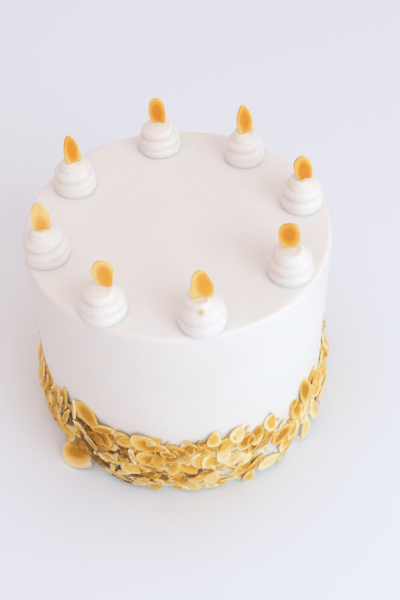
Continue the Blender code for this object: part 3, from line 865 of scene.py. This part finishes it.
toasted_almond = almond_material(
    "toasted_almond", ALMOND_CREAM, ALMOND_GOLD, ALMOND_AMBER, ALMOND_THROUGH
)
for name, shape in (("almond_slices", heap), ("almond_slivers", slivers), ("almond_crumbs", crumbs)):
    piece = add_piece(name, shape, toasted_almond)
    piece.data.set_sharp_from_angle(angle=SHARP_EDGE)
    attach(piece, "root")
    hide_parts("iced_cake")


# The dollops: buttercream piped through a plain round nozzle, held upright and let rise in a
# coil of three turns that closes in a rounded top. Each is one rope swept up the coil, round a
# full middle, then fused and softened as the buttercream settles into itself.
DOLLOP_RADIUS = 0.0117
COIL_PITCH = 0.0056
COIL_DOME = 2.7
COIL_START = 0.05  # the rope's first turn lies flat, and hides its own end
ROPE_RADIUS = 0.0032
ROPE_SIDES = 20
ROPE_STEPS = 28
ROPE_UNEVEN = 0.03
ROPE_RIPPLE = 0.9  # radians of its unevenness a step
ROPE_SETTLED = 0.97
ROPE_SITS = 0.8  # its middle is at least this share of its radius up
THINS_BY = 0.42  # it thins by this share, from this share of the height, over this one
THINS_FROM = 0.55
THINS_OVER = 0.45
CORE_ROWS = 18
CORE_SIDES = 24
CORE_BELOW = 0.0001

# The shares of its height where each dollop's last turn closes over, how soon, and where its foot
# has spread
CAPS_FROM = (0.68, 0.68, 0.64, 0.54, 0.38, 0.62, 0.66, 0.68)
CAP_FADE = 0.14
FOOT_TO = 0.16
DOLLOP_GRID = 0.00042
SOFTENED = 4

# The almonds stood in them
GAP = 0.0003
TOPPER_SEED = 40
TOPPER_SIDES = 40
TOPPER_BEND = (0.0002, 0.0001, 0.0001)
TOPPER_THICKNESS = 0.0014
TOPPER_BURIED = 0.0024
TOPPER_RINGS = ((0.06, 0.05), (0.14, 0.04), (0.20, 0.0), (0.30, -0.04))

# Each dollop in mm and degrees: azimuth, distance from the middle, girth (a factor), height, turn
# of the coil's start; then its almond: height of its foot and tip above the cake, width, facing,
# lean to the right, offset to the right, and whether the point is up
DOLLOPS = (
    (96.5, 67.0, 1.05, 17.2, 20, 14.5, 32.2, 9.3, -92, -6, 0.4, False),
    (53.6, 66.5, 0.97, 17.6, 100, 16.0, 34.6, 9.0, -66, -8, 0.9, True),
    (11.0, 68.0, 1.00, 17.2, 160, 13.9, 30.6, 9.2, -70, -15, 1.9, False),
    (-35.2, 67.4, 1.01, 18.0, 250, 17.0, 32.0, 10.6, -96, -6, -0.8, False),
    (-81.9, 69.7, 1.04, 17.4, 200, 15.0, 33.6, 10.6, -88, -4, 0.4, True),
    (-122.2, 69.8, 1.02, 17.6, 310, 16.4, 32.8, 9.8, -95, -4, 2.4, False),
    (-164.1, 69.2, 1.01, 18.6, 60, 17.2, 34.6, 9.4, -84, -1, -0.3, True),
    (147.4, 64.4, 1.01, 17.2, 120, 14.2, 33.2, 8.6, -58, -6, 1.2, True),
)

# How each of their almonds is toasted: how much, and where its darkest spot lies along and across
TOPPER_TOASTS = (
    (0.95, -0.05, 0.00), (0.85, 0.05, 0.00), (1.10, 0.00, 0.00), (0.95, -0.12, 0.00),
    (0.58, 0.08, 0.16), (0.58, 0.00, -0.08), (0.30, -0.25, 0.00), (0.90, 0.10, 0.00),
)
TOPPER_CREAM = (0.97, 0.74, 0.32)
TOPPER_GOLD = (0.93, 0.48, 0.06)
TOPPER_AMBER = (0.83, 0.32, 0.028)
TOPPER_THROUGH = 0.45

# A crumb of almond that has stuck to the front of the fifth dollop
STUCK_CRUMB_PLACE = Vector((0.0096, -0.0772, 0.1394))
STUCK_CRUMB_SIZE = (0.0030, 0.0021, 0.0011)
STUCK_CRUMB_LEAN = math.radians(55)
STUCK_CRUMB_SEED = 60
STUCK_CRUMB_SIDES = 9
STUCK_CRUMB_TOAST = 0.25
STUCK_CRUMB_TINT = 0.3


def coil_frame(turns, top, girth, start):
    """The middle of the rope after so many turns, and its radius there."""
    height = COIL_PITCH * (turns - 0.5)
    share = min(1.0, max(0.0, height / top))
    dome = DOLLOP_RADIUS * girth * math.sqrt(max(0.0, 1 - share**COIL_DOME))
    radius = ROPE_RADIUS * (1 - THINS_BY * max(0.0, share - THINS_FROM) / THINS_OVER)
    distance = max(dome - radius, 0.0)
    height = min(max(height, radius * ROPE_SITS), top - radius)
    angle = start + 2 * math.pi * turns
    return Vector((distance * math.cos(angle), distance * math.sin(angle), height)), radius


def piped_dollop(top, girth, start, seed, cap_from):
    """The rope and its full middle, as closed shapes that overlap."""
    shape = bmesh.new()
    last = top / COIL_PITCH + 0.5
    steps = int((last - COIL_START) * ROPE_STEPS)
    spots = []
    for k in range(steps + 1):
        spots.append(coil_frame(COIL_START + (last - COIL_START) * k / steps, top, girth, start))
    ring = bmesh.ops.create_circle(shape, cap_ends=True, segments=ROPE_SIDES, radius=1.0)["verts"]
    face = ring[0].link_faces[0]
    before = Matrix.Identity(4)
    for k, (spot, radius) in enumerate(spots):
        nearby = spots[min(k + 1, steps)][0] - spots[max(k - 1, 0)][0]
        forward = nearby.normalized()
        side = forward.cross(Vector((0, 0, 1))).normalized()
        over = side.cross(forward)
        swell = radius * (1 + ROPE_UNEVEN * math.sin(k * ROPE_RIPPLE + seed))
        frame_here = Matrix((side * swell, over * swell * ROPE_SETTLED, forward * swell))
        frame_here = Matrix.Translation(spot) @ frame_here.transposed().to_4x4()
        if k:
            made = bmesh.ops.extrude_face_region(shape, geom=[face])["geom"]
            face = [item for item in made if isinstance(item, bmesh.types.BMFace)][0]
        bmesh.ops.transform(shape, matrix=frame_here @ before.inverted(), verts=list(face.verts))
        before = frame_here
    bmesh.ops.recalc_face_normals(shape, faces=shape.faces[:])

    profile = [(0.0, 0.0)]
    for row in range(CORE_ROWS + 1):
        share = row / CORE_ROWS
        full = min(1.0, max(0.0, (share - cap_from) / CAP_FADE, 1 - share / FOOT_TO))
        dome = DOLLOP_RADIUS * girth * math.sqrt(max(0.0, 1 - share**COIL_DOME))
        core = dome - ROPE_RADIUS * (1 - full)
        profile.append((max(core, 0.0), (top - CORE_BELOW) * share))
    middle = bmesh.new()
    points = [middle.verts.new((x, 0.0, z)) for x, z in profile]
    edges = [middle.edges.new(pair) for pair in zip(points, points[1:])]
    bmesh.ops.spin(
        middle, geom=points + edges, cent=(0, 0, 0), axis=(0, 0, 1),
        angle=2 * math.pi, steps=CORE_SIDES, use_merge=True,
    )
    bmesh.ops.remove_doubles(middle, verts=middle.verts[:], dist=1e-5)
    bmesh.ops.dissolve_degenerate(middle, edges=middle.edges[:], dist=MERGE)
    bmesh.ops.recalc_face_normals(middle, faces=middle.faces[:])
    mesh = bpy.data.meshes.new("middle")
    middle.to_mesh(mesh)
    middle.free()
    shape.from_mesh(mesh)
    bpy.data.meshes.remove(mesh)
    return shape


def topper_place(x, y, foot, tip, facing, lean, point_up):
    """The matrix of an upright slice that shows from foot to tip, with the rest sunk in its dollop."""
    middle = (tip - TOPPER_BURIED - foot) / 2
    upright = Matrix.Rotation(-math.pi / 2, 4, "Y")
    if not point_up:
        upright = upright @ Matrix.Rotation(math.pi, 4, "Z")
    stood = Matrix.Translation((TOPPER_THICKNESS / 2, 0, middle)) @ upright
    turned = Matrix.Rotation(math.radians(facing), 4, "Z") @ stood
    leaned = Matrix.Rotation(math.radians(lean), 4, "Y") @ turned
    return Matrix.Translation((x, y, CAKE_HEIGHT + GAP + foot)) @ leaned


topper_almond = almond_material(
    "topper_almond", TOPPER_CREAM, TOPPER_GOLD, TOPPER_AMBER, TOPPER_THROUGH
)
for number, (spec, toasted) in enumerate(zip(DOLLOPS, TOPPER_TOASTS), start=1):
    azimuth, distance, girth, top, start, foot, tip, width, facing, lean, aside, point_up = spec
    x = distance / 1000 * math.cos(math.radians(azimuth))
    y = distance / 1000 * math.sin(math.radians(azimuth))
    shape = piped_dollop(top / 1000, girth, math.radians(start), number, CAPS_FROM[number - 1])
    bmesh.ops.translate(shape, verts=shape.verts[:], vec=(x, y, CAKE_HEIGHT))
    mound = add_piece(f"piped_dollop_{number}", shape, buttercream)
    fuse = mound.modifiers.new("fuse", "REMESH")
    fuse.mode = "VOXEL"
    fuse.voxel_size = DOLLOP_GRID
    fuse.use_smooth_shade = True
    soften = mound.modifiers.new("soften", "SMOOTH")
    soften.factor = 0.5
    soften.iterations = SOFTENED
    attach(mound, "root")
    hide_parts(f"dollop_{number}")

    upright_slice = new_heap()
    drawn = random.Random(TOPPER_SEED + number)
    mesh = slice_shape(drawn, TOPPER_SIDES, TOPPER_RINGS, both_faces=True)
    length = (tip - foot) / 1000 + TOPPER_BURIED
    stood = topper_place(x + aside / 1000, y, foot / 1000, tip / 1000, facing, lean, point_up)
    size = (length, width / 1000, TOPPER_THICKNESS)
    toast, along, sideways = toasted
    lay(upright_slice, mesh, size, stood, TOPPER_BEND, toast, EVEN_TINT, (along, sideways))
    topper = add_piece(f"topper_slice_{number}", upright_slice, topper_almond)
    topper.data.set_sharp_from_angle(angle=SHARP_EDGE)
    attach(topper, "root")
    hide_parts(f"topper_almond_{number}")

crumb = new_heap()
drawn = random.Random(STUCK_CRUMB_SEED)
mesh = slice_shape(drawn, STUCK_CRUMB_SIDES, SLICE_RINGS[:1], CRUMB_BROKEN)
place = Matrix.Translation(STUCK_CRUMB_PLACE) @ Matrix.Rotation(STUCK_CRUMB_LEAN, 4, "X")
lay(crumb, mesh, STUCK_CRUMB_SIZE, place, (0, 0, 0), STUCK_CRUMB_TOAST, STUCK_CRUMB_TINT)
fallen_crumb = add_piece("dollop_crumb", crumb, toasted_almond)
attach(fallen_crumb, "root")
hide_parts("dollop_5")
